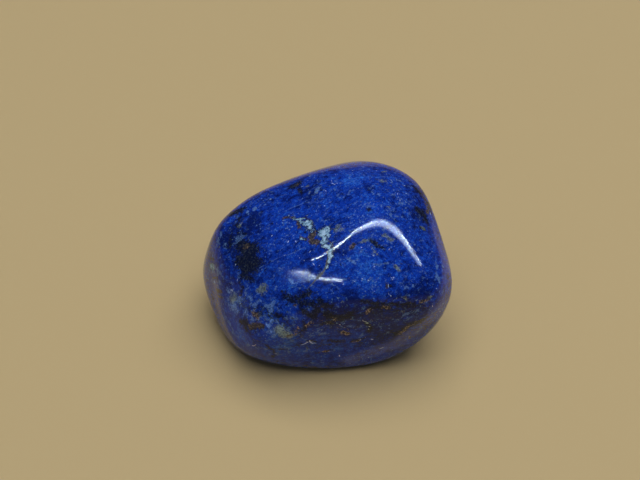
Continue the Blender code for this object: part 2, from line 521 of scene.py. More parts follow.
# Soft grey blue clouding
HAZE = (
    line("low_left_sprinkle", 2.0, 0.60, (232, 298), (250, 306), (272, 318), (290, 335)),
    line("shade_sprinkle", 2.4, -0.35, (320, 330), (360, 325), (410, 320)),
    line("foot_sprinkle", 2.0, 0.20, (250, 345), (285, 350), (325, 352)),
    line("back_sprinkle", 3.0, -0.20, (320, 195), (360, 190), (400, 200), (390, 225)),
    # Pale clouding, partly the stone's own and partly a painted highlight, where the lower highlight turns
    # hazy
    line("low_bloom", 0.60, 0.5, (289, 280.5), (297, 284), (304, 279.5), (311, 279)),
    line("strip_top", 0.26, 0.8, (221, 233), (216.5, 246), (212.5, 256)),
    line("strip", 0.45, 1.0, (209.5, 268), (216, 270), (220, 273)),
    line("strip_low", 0.40, 1.0, (212, 281), (220, 284)),
    line("strip_edge", 0.36, 0.4, (222, 263), (223, 275), (224.5, 300)),
    line("vein_haze", 0.13, 0.8, (308.6, 230), (309, 237.5)),
    line("low_left_swirl", 0.22, 1.0, (270, 321), (282, 318.6), (294, 318), (303, 321)),
    line("low_left_edge", 0.20, 1.0, (221, 304), (226, 317), (233, 330)),
    line("left_pale", 0.28, 1.2, (236.8, 239.4), (240.5, 238.4)),
    line("left_pale_arm", 0.13, 1.1, (243, 237), (246.5, 235.8)),
    line("left_low_pale", 0.18, 1.1, (248.2, 271.5), (247.2, 274.8)),
    line("left_bloom", 0.42, 1.0, (231, 305), (236, 308.5), (232.5, 300)),
    line("left_sky", 0.40, 0.9, (255, 304), (259.5, 306.5)),
    line("low_sky", 0.36, 0.9, (266, 306), (273, 305)),
    line("low_band", 0.34, 1.1, (267.5, 325.5), (274, 321.5), (282, 324)),
    line("low_grey", 0.34, 1.0, (270, 337), (277, 335.5)),
    line("low_pale", 0.20, 1.0, (287, 312), (290.5, 310.8)),
    line("back_pale", 0.24, 1.1, (316.5, 189.5), (319.5, 188)),
    line("corner_pale", 0.16, 1.1, (247.6, 211), (248.4, 215)),
    line("corner_cloud", 0.22, 0.8, (253, 209.5), (256, 208.5)),
    line("arc_cloud", 0.26, 1.0, (368, 240), (371.5, 238.5)),
    line("arc_cloud_right", 0.24, 1.0, (377.5, 236), (380.5, 237.5)),
    line("arc_thread", 0.10, 1.0, (370.5, 251), (374, 256)),
    line("arc_thread_up", 0.09, 1.0, (375, 246.5), (376.5, 242)),
    line("arc_lilac", 0.22, 0.8, (347, 257.5), (351.5, 261), (353.5, 262)),
    line("arc_rim", 0.14, 0.9, (370, 263.5), (379, 265), (388, 263)),
    line("low_link", 0.20, 1.0, (341.5, 278), (345, 278.2)),
    line("low_link_right", 0.24, 0.9, (353, 280), (356.5, 279.5)),
    line("low_wisp", 0.16, 0.9, (369, 280), (373, 277.5)),
    line("shade_grey", 0.40, 0.7, (357, 308.5), (364, 309.5)),
    line("shade_streak", 0.24, 1.2, (402.5, 314.6), (409, 313.6), (415.8, 311.8)),
    line("shade_wedge", 0.40, 0.8, (359, 336), (365, 334.5)),
    line("right_patch", 0.34, 1.1, (417.5, 332), (421, 328.5)),
    line("shade_line", 0.13, 0.9, (344, 327.5), (352, 325.4)),
    line("shade_dash", 0.12, 1.1, (357.3, 320.8), (361, 320.2)),
    line("low_cloud", 0.28, 0.8, (319.5, 334), (324, 333)),
    line("crack_grey", 0.14, 1.0, (318, 277.5), (314, 281.5), (311, 286)),
    line("right_cloud", 0.26, 0.8, (409.5, 284), (414, 286)),
    line("right_cloud_low", 0.20, 0.8, (406.5, 287), (410, 288.5)),
    line("right_pale", 0.22, 0.8, (413.5, 262), (416, 266)),
    line("right_rim", 0.26, 0.7, (436, 262), (437, 274), (439, 282)),
    line("foot_pale", 0.18, 1.0, (222.5, 316), (225.5, 323)),
    line("foot_bloom", 0.26, 0.9, (233.5, 333.5), (238.5, 337.5)),
    line("foot_thread", 0.12, 1.0, (266.5, 339), (273, 341)),
    line("foot_cloud", 0.30, 0.7, (276, 353), (285, 356)),
    line("foot_pink", 0.15, 0.9, (311, 362.6), (318, 363.6)),
    dots("back_pale_dots", 0.14, 1.0,
        (324.5, 205.8), (327.6, 210.6), (319.6, 202.4), (351.6, 210.4), (356, 203.2), (360.5, 202.3),
        (351.2, 217), (362, 220.6), (343.8, 197.2), (366.3, 203.7), (406, 219.4), (409.6, 218),
    ),
    dots("rim_pale_dots", 0.14, 1.0,
        (417, 185.4), (419.4, 194.8), (373, 185.8), (372.6, 191.2), (399.6, 187), (405.4, 191.4),
        (395.7, 211.5), (388.8, 218.4), (409.5, 186.5), (431.4, 218.3), (419.6, 216.5), (390.5, 212.3),
    ),
    dots("left_pale_dots", 0.12, 1.0,
        (265, 204.6), (269.5, 199.3), (256.6, 225.4), (269, 225.4), (260.5, 228.5), (263, 230.5),
        (229, 260.8), (233.4, 260), (237.4, 280), (251.5, 233), (262, 269.6), (281.6, 238.4),
    ),
    dots("arc_pale_dots", 0.13, 0.9,
        (361.4, 251.2), (343.5, 259.6), (349, 261.5), (358.6, 270.6), (384.3, 258.4), (395.5, 262.5),
        (397.5, 247.5), (335.6, 265), (367, 230), (383.6, 229.6), (424.6, 264.5), (427.5, 277),
    ),
    dots("low_pale_dots", 0.15, 0.9,
        (276.6, 286.5), (275.5, 290), (267, 302.5), (293.5, 313.6), (313.5, 307.5), (317, 309),
        (337, 307.5), (350.5, 308), (395, 316), (388.5, 323), (389.5, 325.6), (419, 309),
    ),
)

# Painted fill light: where the crumbs and white grains are paler, on the faces low on the stone that the
# lamps light less
PAINTED_FILL_MARKS = (
    line("front", 3.0, 1.5, (315, 328), (370, 325), (420, 320)),
    line("low_left", 2.0, 0.5, (235, 305), (262, 318), (285, 330)),
    line("foot", 1.6, 1.1, (245, 338), (290, 350), (340, 355)),
    line("left_strip", 1.2, 0.35, (212, 258), (214, 280), (220, 300)),
)

# Where the blue has few grains
CALM = (
    line("left_plain", 2.0, 1.0, (272, 240), (290, 258), (306, 262)),
    line("back_left_plain", 1.6, 0.9, (262, 215), (285, 205)),
)

# Where the clouding is paler. Low on the left and on the left strip this is painted fill light, for faces
# that the lamps light less, and at the bloom it is a painted highlight, where the lower highlight turns hazy
PALE_AND_PAINTED_LIGHT = (
    line("low_left", 1.8, 1.2, (235, 303), (258, 312), (280, 328)),
    line("bloom", 0.8, 0.9, (288, 281), (300, 281)),
    line("left_strip", 1.2, 1.0, (212, 262), (214, 280)),
)

# Where the polish is at its glassiest
GLOSS = (
    line("right_rim", 1.5, 1.15, (433, 232), (445, 262), (445, 292), (424, 324), (396, 344), (350, 360)),
)

# Places where the polish is dull
DULL = (
    line("bloom", 0.60, 1.3, (287, 281), (298, 280), (306, 277)),
    line("arc_crest", 0.50, 0.6, (373, 221), (382, 222), (391, 226), (399, 233)),
    line("arc_foot", 0.35, 0.8, (412, 249), (416.5, 256)),
)

MARKS = {
    "chalk": CHALK,
    "rust": RUST,
    "olive": OLIVE,
    "murk": MURK,
    "haze": HAZE,
    "lift": PAINTED_FILL_MARKS,
    "calm": CALM,
    "pale": PALE_AND_PAINTED_LIGHT,
    "gloss": GLOSS,
    "dull": DULL,
}

# Ridges that are raised a little: name, width and height in millimetres, and places
RIDGES = (
    line("left_ridge", 1.6, 0.28,
        (226, 230), (223, 250), (224, 272), (222.5, 292), (224, 308), (229, 324), (237, 340),
    ),
)

# Zones where the blue is brighter, above 0, or deeper, below 0. Some of the bright zones are painted light,
# as marked below
ZONES = (
    dots("left_bright", 1.3, -0.5, (230, 268)),
    dots("left_deep", 1.5, -2.0, (230, 240)),
    dots("corner_deep", 1.2, -1.7, (252, 222)),
    dots("under_corner", 1.6, -0.5, (264, 252)),
    dots("vein_bright", 1.3, 0.2, (292, 229)),
    dots("left_of_bloom", 1.3, 0.4, (270, 280)),
    dots("back_left_even", 1.6, 0.3, (292, 212)),
    dots("back_left_deep", 1.4, -1.2, (309, 192)),
    dots("back_left_rim", 1.4, -0.5, (270, 196)),
    # bloom_bright is a painted highlight, under the lower hazy highlight
    dots("bloom_bright", 1.1, 0.8, (290, 284)),
    dots("arc_foot_bright", 1.0, 0.7, (341, 270)),
    dots("arc_right_bright", 1.0, 0.5, (394, 268)),
    # These bright zones low on the left are painted fill light, for faces that the lamps light less
    dots("low_left_far", 1.3, 1.2, (234, 306)),
    dots("low_left_foot", 1.4, 1.5, (240, 333)),
    dots("low_middle", 1.2, 0.7, (270, 328)),
    dots("back_lively", 3.0, 0.5, (352, 192)),
    dots("arc_lively", 3.0, 0.15, (372, 262)),
    dots("right_lively", 1.8, 0.2, (412, 275)),
    dots("back_deep", 1.1, -0.7, (347, 198)),
    dots("back_bright", 1.3, 1.3, (353, 181)),
    dots("back_deep_right", 1.0, -0.9, (365, 187)),
    dots("back_middle_bright", 1.4, 0.9, (372, 213)),
    dots("before_arc_deep", 0.9, -0.6, (336, 224)),
    dots("arc_left_deep", 0.9, -0.7, (339, 252)),
    dots("arc_bright", 1.6, 0.9, (365, 262)),
    dots("arc_low_bright", 1.8, 1.0, (368, 284)),
    dots("arc_right_deep", 1.0, -0.3, (408, 262)),
    dots("limb_deep", 1.2, -1.0, (419, 190)),
    dots("limb_deep_low", 1.0, -1.1, (416, 214)),
    dots("limb_bright", 1.2, 0.2, (430, 232)),
    dots("right_even", 1.8, 0.2, (424, 250)),
    dots("right_low_deep", 1.6, -0.7, (425, 285)),
    dots("ridge_deep", 1.2, -0.9, (351, 297)),
    dots("mottle_even", 1.8, 0.2, (305, 303)),
    # These two are painted fill light as well, low on the left
    dots("low_left_bright", 1.4, 0.1, (280, 305)),
    dots("low_left_bright_2", 1.3, 0.1, (270, 318)),
    dots("shade_deep_left", 2.4, -1.3, (335, 318)),
    dots("shade_deep_middle", 2.6, -1.3, (370, 316)),
    dots("shade_deep_right", 2.6, -1.3, (410, 312)),
    dots("shade_deep_foot", 2.4, -0.8, (390, 335)),
    # These bright zones along the foot are painted fill light, for faces that the lamps light less
    dots("foot_middle", 2.2, 0.8, (330, 347)),
    dots("foot_left", 2.0, 1.2, (285, 347)),
)

# White grains
GLINTS = (
    fleck("left_glint", 0.068, (271.4, 236.4), (272.4, 235.2)),
    fleck("middle_glint", 0.076, (287.6, 242.6), (288.8, 240.6)),
    fleck("middle_glint_2", 0.060, (295.2, 240.6), (296.4, 242.6)),
    fleck("slant_glint", 0.055, (308.8, 253), (310.8, 250.8)),
    fleck("blue_glint", 0.051, (299.1, 257.8), (299.9, 257.8)),
    fleck("blue_glint_2", 0.043, (303.8, 260.6), (304.6, 260.6)),
    fleck("blue_glint_3", 0.043, (284, 255.4), (284.8, 255.8)),
    fleck("tail_glint", 0.060, (312.6, 262.8), (314.4, 265.2)),
    fleck("tail_glint_2", 0.043, (319, 265.4), (320, 265.4)),
    fleck("arc_glint", 0.055, (361.0, 247.4), (361.9, 247.4)),
    fleck("arc_glint_2", 0.068, (374.0, 266.4), (374.9, 266.4)),
    fleck("arc_glint_3", 0.055, (372.9, 255.2), (373.8, 255.8)),
    fleck("arc_glint_4", 0.060, (388.9, 249.8), (389.5, 248.6)),
    fleck("low_glint", 0.068, (393.2, 277.5), (394.1, 277.4)),
    fleck("low_glint_2", 0.055, (392.3, 279.6), (393.1, 279.6)),
    fleck("low_glint_3", 0.043, (391, 277.4), (391.8, 277.4)),
    fleck("low_glint_4", 0.068, (361.8, 278.4), (363.0, 279.0)),
    fleck("low_glint_5", 0.051, (367.8, 280.7), (369.2, 280.1)),
    fleck("low_glint_6", 0.064, (354.4, 281.2), (355, 281.8)),
    fleck("low_glint_7", 0.055, (342.8, 284.6), (344, 283.8)),
    fleck("low_glint_8", 0.043, (374.2, 291.2), (374.8, 291.2)),
    fleck("low_slit", 0.043, (388.5, 283.6), (388.3, 288.2)),
    fleck("ridge_glint", 0.072, (390.5, 295.6), (391.2, 296)),
    fleck("right_glint", 0.060, (436.1, 288.5), (436.9, 288.5)),
    fleck("right_glint_2", 0.060, (432.4, 305.2), (432.6, 306.8)),
    fleck("back_glint", 0.064, (331.6, 183.2), (332.6, 183.2)),
    fleck("back_glint_2", 0.064, (336.6, 183.2), (337.6, 183.2)),
    fleck("back_glint_3", 0.051, (333.8, 184.5), (334.8, 184.5)),
    fleck("back_glint_4", 0.043, (331.2, 180.5), (332, 180.5)),
    fleck("back_glint_5", 0.043, (335.2, 174.7), (336, 174.7)),
    fleck("back_glint_6", 0.051, (324.8, 190.2), (326.4, 191.4)),
    fleck("rim_glint", 0.051, (352.3, 170.5), (353.1, 170.5)),
    fleck("rim_glint_2", 0.051, (376.2, 170.6), (377, 170.6)),
    fleck("rim_glint_3", 0.043, (397.6, 192.6), (397.6, 195)),
    fleck("rim_glint_4", 0.072, (404, 185.4), (404.9, 185.7)),
    fleck("rim_glint_5", 0.043, (400, 199.2), (400, 201.6)),
    fleck("limb_glint", 0.068, (430.3, 212.2), (430.7, 215.2)),
    fleck("back_dot_1", 0.072, (324.1, 205.8), (324.9, 205.8)),
    fleck("back_dot_2", 0.047, (306.6, 215.6), (307.4, 215.6)),
    fleck("left_white", 0.068, (229.2, 293.4), (231, 290.2)),
    fleck("left_white_2", 0.085, (231.6, 290), (233.9, 288.8)),
    fleck("left_white_3", 0.051, (231, 293.2), (233, 291.2)),
    fleck("left_dot", 0.064, (240, 303.3), (240.7, 303.7)),
    fleck("left_dot_2", 0.060, (235.9, 263.9), (235.4, 265.4)),
    fleck("left_slit", 0.051, (237.8, 278.6), (237, 281.2)),
    fleck("foot_white", 0.081, (252, 345.5), (254, 345.9)),
    fleck("foot_white_2", 0.047, (254.6, 345.2), (256.2, 344.4)),
    fleck("foot_white_3", 0.043, (274, 353.6), (277.2, 353.6)),
    fleck("squiggle", 0.085, (300.6, 345), (304.4, 344.2)),
    fleck("squiggle_2", 0.075, (304.6, 343.6), (309, 341.3)),
    fleck("squiggle_3", 0.075, (309, 341.4), (311.6, 343)),
    fleck("squiggle_4", 0.085, (311.2, 343), (313, 343.3)),
    fleck("squiggle_5", 0.070, (313.4, 342.8), (316.4, 343.3)),
    fleck("shade_curl", 0.043, (362.4, 319.8), (363.6, 321.6)),
    fleck("shade_curl_2", 0.043, (363.6, 321.6), (367, 321.4)),
    fleck("shade_white", 0.068, (369, 326.8), (370.2, 326.2)),
    fleck("shade_white_2", 0.051, (368.2, 329.6), (369.2, 329.4)),
    fleck("shade_white_3", 0.093, (371, 339.1), (373, 339.6)),
    fleck("shade_white_4", 0.060, (339.2, 324.4), (340.6, 325)),
    fleck("shade_white_5", 0.051, (359.4, 340.4), (361, 339.2)),
    fleck("foot_grey", 0.085, (379.4, 348.9), (384.2, 347)),
    fleck("foot_dot", 0.060, (339.3, 355), (339.5, 356.6)),
)

# Fine scratches in the polish
SCRATCHES = (
    fleck("scratch_left", 0.035, (271, 262), (278, 257.6)),
    fleck("scratch_middle", 0.035, (285, 256), (296, 251.6)),
    fleck("scratch_right", 0.035, (296, 251.6), (304, 247.4)),
    fleck("scratch_back", 0.035, (284, 211.5), (294, 207)),
    fleck("scratch_back_right", 0.035, (294, 207), (307, 202)),
    fleck("scratch_corner", 0.045, (259.4, 268), (262.4, 266)),
    fleck("scratch_rim", 0.035, (398.5, 202.8), (400.5, 204.3)),
)

# The crack, from its upper end
CRACK = (
    fleck("crack_1", 0.090, (328, 257), (326.6, 262.5)),
    fleck("crack_2", 0.095, (326.8, 261.5), (325.8, 267.5)),
    fleck("crack_3", 0.110, (326, 266.5), (323.2, 272)),
    fleck("crack_4", 0.160, (323.8, 271.5), (319.8, 275.6)),
    fleck("crack_5", 0.150, (320.4, 275), (316, 279.4)),
    fleck("crack_6", 0.085, (316.6, 278.8), (312, 284)),
    fleck("crack_7", 0.050, (312.6, 283.4), (307.6, 288.4)),
)

# Marks of the far sides, which wander at random. The stride is from one place of a mark to the next.
FAR_MARKS = (
    FarMark("murk", 34, 0.62 * MM, 0.55, 0.7 * MM),
    FarMark("haze", 70, 0.28 * MM, 0.90, 0.7 * MM),
    FarMark("rust", 34, 0.26 * MM, 0.80, 0.5 * MM),
    FarMark("olive", 26, 0.26 * MM, 0.80, 0.5 * MM),
    FarMark("chalk", 5, 0.22 * MM, 0.90, 0.5 * MM),
    FarMark("dull", 3, 0.40 * MM, 0.90, 0.9 * MM),
)
FAR_MOST_PLACES = 4
FAR_WIDTHS = (0.5, 1.3)
FAR_STRENGTHS = (0.6, 1.4)

# How far they turn at each place, and the cosine from the near side below which a place is on a far side
FAR_DRIFT = 0.6
FAR_EDGE = -0.05

# The vein that crosses the back
FAR_VEIN_FACING = (70.0, 10.0)
FAR_VEIN_PLACES = 8
FAR_VEIN = FarMark("chalk", 1, 0.36 * MM, 0.7, 1.2 * MM)

# What is painted far outside every mark, and far outside every grain
BARE = -1.0
FAR_OFF = 50.0

# The gap from a grain, in its own widths, over which its painted place stops counting
GRAIN_REACH = (4.5, 6.0)

# Keeps a line whose ends are the same place from dividing by 0
TINY = 1e-12


# ---------------------------------------------------------------------------------------------------------
# The stage
# ---------------------------------------------------------------------------------------------------------


def camera_turn():
    """The camera's turning, as a matrix: it looks along +Y and down."""
    rise = bpy.context.scene.lapis_stage.camera_rise
    return Matrix.Rotation(math.pi / 2.0 - rise, 3, "X")


def camera_place():
    stage = bpy.context.scene.lapis_stage
    offset = Vector((-stage.aim_across, stage.aim_up, stage.camera_distance))
    return HEART + camera_turn() @ offset


def sight_line(across, down):
    """The direction from the camera through a place in its view, in pixels."""
    stage = bpy.context.scene.lapis_stage
    focal = stage.lens / SENSOR_WIDTH * VIEW_WIDTH
    ray = Vector(((across - VIEW_WIDTH / 2) / focal, -(down - VIEW_HEIGHT / 2) / focal, -1.0))
    return (camera_turn() @ ray).normalized()


def make_camera():
    stage = bpy.context.scene.lapis_stage
    turn = (math.pi / 2.0 - stage.camera_rise, 0.0, 0.0)
    bpy.ops.object.camera_add(location=camera_place(), rotation=turn)
    camera = bpy.context.object
    camera.name = "front_camera"
    camera.data.sensor_width = SENSOR_WIDTH
    camera.data.lens = stage.lens
    camera.data.clip_start, camera.data.clip_end = CAMERA_CLIP
    bpy.context.scene.camera = camera


def make_floor():
    stage = bpy.context.scene.lapis_stage
    place = (0.0, 0.0, BOX_LOW.z - FLOOR_GAP)
    bpy.ops.mesh.primitive_plane_add(size=stage.floor_size, location=place)
    floor = bpy.context.object
    floor.name = "floor"
    shader = Shader(bpy.data.materials.new("pale_floor"))
    surface = shader.tree.nodes["Principled BSDF"]
    surface.inputs["Base Color"].default_value = paint(stage.floor_colour)
    surface.inputs["Roughness"].default_value = FLOOR_ROUGHNESS
    surface.inputs["Specular IOR Level"].default_value = FLOOR_SHINE
    floor.data.materials.append(shader.owner)


def add_area_light(name, place, shape, size, power):
    bpy.ops.object.light_add(type="AREA", location=place)
    light = bpy.context.object
    light.name = name
    light.data.shape = shape
    light.data.size, light.data.size_y = size
    light.data.energy = power
    return light


def make_soft_box():
    """A broad light overhead, turned to the stone."""
    light = add_area_light("soft_box", SOFT_BOX_PLACE, "RECTANGLE", SOFT_BOX_SIZE, SOFT_BOX_POWER)
    light.rotation_euler = (SOFT_BOX_PLACE - HEART).to_track_quat("Z", "Y").to_euler()
    light.visible_glossy = False


def make_tube_light(tube):
    """A long overhead tube that only shows as a bright line in polished surfaces."""
    start = Vector(tube.start)
    end = Vector(tube.end)
    middle = (start + end) / 2.0
    size = ((end - start).length, tube.width)
    light = add_area_light(tube.name, middle, tube.shape, size, tube.power)
    along = (end - start).normalized()
    back = (middle - HEART).normalized()
    across = back.cross(along).normalized()
    back = along.cross(across).normalized()
    light.rotation_euler = Matrix((along, across, back)).transposed().to_euler()
    light.data.color = bpy.context.scene.lapis_stage.tube_colour
    light.visible_diffuse = False


def make_room():
    """A dim room: warm low down, as its walls would be, and cooler overhead."""
    stage = bpy.context.scene.lapis_stage
    shader = Shader(bpy.data.worlds.new("dim_room"))
    place = shader.add("ShaderNodeTexCoord").outputs["Generated"]
    height = shader.node("ShaderNodeSeparateXYZ", {}, {"Vector": place}, "Z")
    colour = shader.blend(height.step(0.0, stage.room_fade), stage.room_low, stage.room_high)
    shader.feed(shader.tree.nodes["Background"].inputs["Color"], colour)
    bpy.context.scene.world = shader.owner


class LAPIS_OT_stage(bpy.types.Operator):
    """Adds the pale floor, the soft lights and the camera"""

    bl_idname = "lapis.stage"
    bl_label = "Add Stage"

    def execute(self, context):
        deselect_all()
        for obj in [obj for obj in bpy.data.objects if obj.type in ("LIGHT", "CAMERA")]:
            bpy.data.objects.remove(obj, do_unlink=True)
        make_camera()
        make_floor()
        make_room()
        make_soft_box()
        for tube in TUBES:
            make_tube_light(tube)
        context.scene.view_settings.view_transform = "Standard"
        return {"FINISHED"}


# ---------------------------------------------------------------------------------------------------------
# The stone's surface
# ---------------------------------------------------------------------------------------------------------


def make_surface():
    """A finely divided ball, drawn onto the solid and polished."""
    settings = bpy.context.scene.lapis_stone
    deselect_all()
    bpy.ops.mesh.primitive_cube_add(size=STONE_LENGTH, location=HEART)
    stone = bpy.context.object
    stone.name = STONE_PIECE
    stone.data.name = STONE_PIECE
    bpy.ops.object.mode_set(mode="EDIT")
    bpy.ops.mesh.select_all(action="SELECT")
    bpy.ops.mesh.subdivide(number_cuts=settings.cells - 1)
    bpy.ops.object.mode_set(mode="OBJECT")
    apply_modifier(
        stone,
        "CAST",
        factor=1.0,
        radius=STONE_LENGTH,
        use_radius_as_size=False,
        size=STONE_LENGTH,
    )
    apply_modifier(
        stone,
        "SHRINKWRAP",
        target=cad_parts[STONE_NODE],
        wrap_method="PROJECT",
        use_negative_direction=True,
        use_positive_direction=False,
    )
    apply_modifier(stone, "SMOOTH", factor=0.5, iterations=settings.polish_passes)
    waves = bpy.data.textures.new("tumbling_waves", "CLOUDS")
    waves.noise_scale = settings.wave_length
    waves.noise_depth = 1
    apply_modifier(
        stone,
        "DISPLACE",
        texture=waves,
        texture_coords="LOCAL",
        strength=settings.wave_height,
        mid_level=0.5,
    )
    make_active(stone)
    bpy.ops.object.transform_apply(location=True, rotation=True, scale=True)
    bpy.ops.object.shade_smooth()
    bpy.context.view_layer.update()
    raise_ridges(stone, settings.polish_loss)
    bpy.context.view_layer.update()
    return stone


def raise_ridges(stone, loss):
    """Puts back what the polish took off, and draws out ridges where the solid is rounder than the stone."""
    points = stone_points(stone)
    rise = np.full(len(points), loss)
    for ridge in RIDGES:
        gap = gap_to_line(points, stone_places(stone, ridge))
        rise = rise + ridge.strength * MM * np.exp(-((gap / ridge.width) ** 2))
    outwards = np.empty(len(points) * 3)
    stone.data.vertex_normals.foreach_get("vector", outwards)
    raised = points + outwards.reshape(-1, 3) * rise[:, None]
    raised[:, 2] = np.maximum(raised[:, 2], BOX_LOW.z)
    stone.data.vertices.foreach_set("co", raised.ravel())
    stone.data.update()


# ---------------------------------------------------------------------------------------------------------
# Painting the markings onto the stone
# ---------------------------------------------------------------------------------------------------------


def stone_points(stone):
    points = np.empty(len(stone.data.vertices) * 3, np.float32)
    stone.data.vertices.foreach_get("co", points)
    return points.reshape(-1, 3).astype(float)


def stone_places(stone, mark):
    """The points of the stone that a mark's places in the view show."""
    points = []
    for place in mark.places:
        hit, point, _normal, _face = stone.ray_cast(camera_place(), sight_line(*place))
        if not hit:
            raise RuntimeError(f"{mark.name}: the stone isn't at {place} in the view")
        points.append(point)
    return points


def outer_place(stone, way):
    """The point where a line from the heart leaves the stone."""
    _hit, point, _normal, _face = stone.ray_cast(HEART + way * STONE_LENGTH, -way)
    return point


def gap_to_line(points, places):
    """How far each of the points is from the line through some places."""
    gap = np.full(len(points), np.inf)
    for start, end in zip(places, places[1:] or places):
        start = np.array(start)
        along = np.array(end) - start
        share = np.clip((points - start) @ along / max(along @ along, TINY), 0.0, 1.0)
        gap = np.minimum(gap, np.linalg.norm(points - start - share[:, None] * along, axis=1))
    return gap


def near_side_marks(stone):
    """The marks that are placed in the view, for each field, as (width, strength, places on the stone)."""
    marks = {field: [] for field in MARKS}
    for field, group in MARKS.items():
        for mark in group:
            places = stone_places(stone, mark)
            parts = [places] if mark.joined else [[place] for place in places]
            marks[field] += [(mark.width, mark.strength, part) for part in parts]
    return marks


def wandering_places(stone, chance, way, stride, count):
    """Places that wander over the stone from where the way leaves it."""
    heading = way.cross(random_vector(chance)).normalized()
    places = []
    for _ in range(count):
        places.append(outer_place(stone, way))
        heading = (heading + random_vector(chance) * FAR_DRIFT).normalized()
        way = (way + heading * stride / STONE_LENGTH * 2.0).normalized()
    return places


def far_side_marks(stone):
    """Markings like those of the near side, for the sides turned away."""
    chance = random.Random(bpy.context.scene.lapis_stone.pattern_seed)
    near_side = facing(*VIEW_FACING)
    marks = {field: [] for field in MARKS}
    for kind in FAR_MARKS:
        group = marks[kind.field]
        while len(group) < kind.count:
            way = random_vector(chance).normalized()
            if way.dot(near_side) > FAR_EDGE:
                continue
            count = chance.randint(1, FAR_MOST_PLACES)
            places = wandering_places(stone, chance, way, kind.stride, count)
            width = kind.width * chance.uniform(*FAR_WIDTHS)
            strength = kind.strength * chance.uniform(*FAR_STRENGTHS)
            group.append((width, strength, places))
    way = facing(*FAR_VEIN_FACING)
    places = wandering_places(stone, chance, way, FAR_VEIN.stride, FAR_VEIN_PLACES)
    marks[FAR_VEIN.field].append((FAR_VEIN.width, FAR_VEIN.strength, places))
    return marks


def paint_field(stone, name, values):
    field = stone.data.attributes.new(name, "FLOAT", "POINT")
    field.data.foreach_set("value", np.asarray(values, np.float32))


def paint_marks(stone):
    """Paints the markings onto the stone's points, one number for each field."""
    points = stone_points(stone)
    near = near_side_marks(stone)
    far = far_side_marks(stone)
    for name in MARKS:
        field = np.full(len(points), BARE)
        for width, strength, places in near[name] + far[name]:
            field = np.maximum(field, strength - gap_to_line(points, places) / width)
        paint_field(stone, name, field)


def paint_zones(stone):
    """Paints where the blue is brighter or deeper, as the sum of all zones."""
    points = stone_points(stone)
    depth = np.zeros(len(points))
    for zone in ZONES:
        gap = gap_to_line(points, stone_places(stone, zone))
        depth += zone.strength * np.exp(-((gap / zone.width) ** 2))
    paint_field(stone, "zone", depth)


def paint_grains(stone, name, flecks):
    """Paints thin grains: where each point lies in the nearest grain, whose edge is at 1, and how far off."""
    points = stone_points(stone)
    place = np.zeros((len(points), 3))
    gap = np.full(len(points), np.inf)
    for grain in flecks:
        start, end = stone_places(stone, grain)
        turn = np.array((end - start).to_track_quat("X", "Z").to_matrix())
        size = np.array(((end - start).length / 2.0 + grain.width, grain.width, grain.width))
        inner = (points - np.array((start + end) / 2.0)) @ turn / size
        inner_gap = np.linalg.norm(inner, axis=1)
        closer = inner_gap < gap
        place[closer] = inner[closer]
        gap[closer] = inner_gap[closer]
    field = stone.data.attributes.new(name + "_place", "FLOAT_VECTOR", "POINT")
    field.data.foreach_set("vector", place.astype(np.float32).ravel())
    paint_field(stone, name + "_gap", np.minimum(gap, FAR_OFF))


# ---------------------------------------------------------------------------------------------------------
# The stone's finish
# ---------------------------------------------------------------------------------------------------------


def rock_patterns(shader, settings):
    """The noises that the rock is made of, from soft clouds to fine grain. Places are in millimetres."""
    place = shader.vector("SCALE", shader.add("ShaderNodeTexCoord").outputs["Object"], Scale=1.0 / MM)
    turn = (0.0, 0.0, settings.layer_turn)
    stretch = (settings.layer_stretch, 1.0, 1.0)
    inputs = {"Vector": place, "Rotation": turn, "Scale": stretch}
    layered = shader.node("ShaderNodeMapping", {"vector_type": "TEXTURE"}, inputs)
    ragged = shader.warp(layered, scale=1.0, reach=0.45, detail=3.0)
    rough = shader.warp(layered, scale=3.0, reach=0.12, detail=2.0)
    blobs_place = shader.vector("ADD", place, (9.0, 23.0, 2.0))
    spots_place = shader.vector("ADD", ragged, (17.0, 5.0, 31.0))
    stars_place = shader.vector("ADD", place, (3.0, 41.0, 7.0))
    rock = SimpleNamespace(
        clouds=shader.noise(ragged, scale=0.35, detail=3.0, roughness=0.6),
        mottle=shader.noise(ragged, scale=1.9, detail=5.0, roughness=0.72),
        crumbs=shader.noise(rough, scale=3.2, detail=4.0, roughness=0.7),
        grit=shader.noise(place, scale=4.6, detail=3.0, roughness=0.75),
        grain=shader.noise(place, scale=8.0, detail=2.0, roughness=0.6),
        blobs=shader.noise(blobs_place, scale=1.5, detail=2.0, roughness=0.55),
        spots=shader.noise(spots_place, scale=2.2, detail=4.0, roughness=0.72),
        stars=shader.noise(stars_place, scale=4.4, detail=1.0, roughness=0.5),
    )

    # The edge makes the outline of every marking crumbly, and light is where its crumbs are pale.
    rock.edge = (rock.crumbs - 0.5) * 3.4 + (rock.grain - 0.5) * 2.6
    rock.light = rock.grit.step(0.50, 0.60)
    return rock


def blue_rock(shader, settings, rock):
    """The blue itself: navy, ultramarine and cobalt, with pale spots, black pits and single bright grains."""
    zone = shader.field("zone")
    depth = rock.clouds * 0.25 + rock.mottle * 0.75 + zone * 0.10
    blue = shader.blend(depth.step(0.36, 0.56), settings.navy, settings.ultramarine)
    lively = rock.mottle * 0.6 + rock.grit * 0.4 + zone * 0.06
    blue = shader.blend(lively.step(0.52, 0.66), blue, settings.cobalt)
    blue = shader.dim(blue, rock.grain.step(0.3, 0.7, start=0.66, end=1.50))
    blue = shader.blend(rock.spots.step(0.56, 0.70) * 0.66, blue, settings.bloom)
    blue = shader.blend(rock.spots.step(0.28, 0.38, start=0.7, end=0.0), blue, settings.black)
    calm = shader.field("calm").step(0.0, 1.0)
    stars = rock.stars + rock.spots * 0.3 + rock.clouds * 0.5 - calm * 0.05
    blue = shader.blend(stars.step(1.06, 1.16) * 0.42, blue, settings.teal)
    return shader.blend(stars.step(1.21, 1.27) * 0.7, blue, settings.glint)


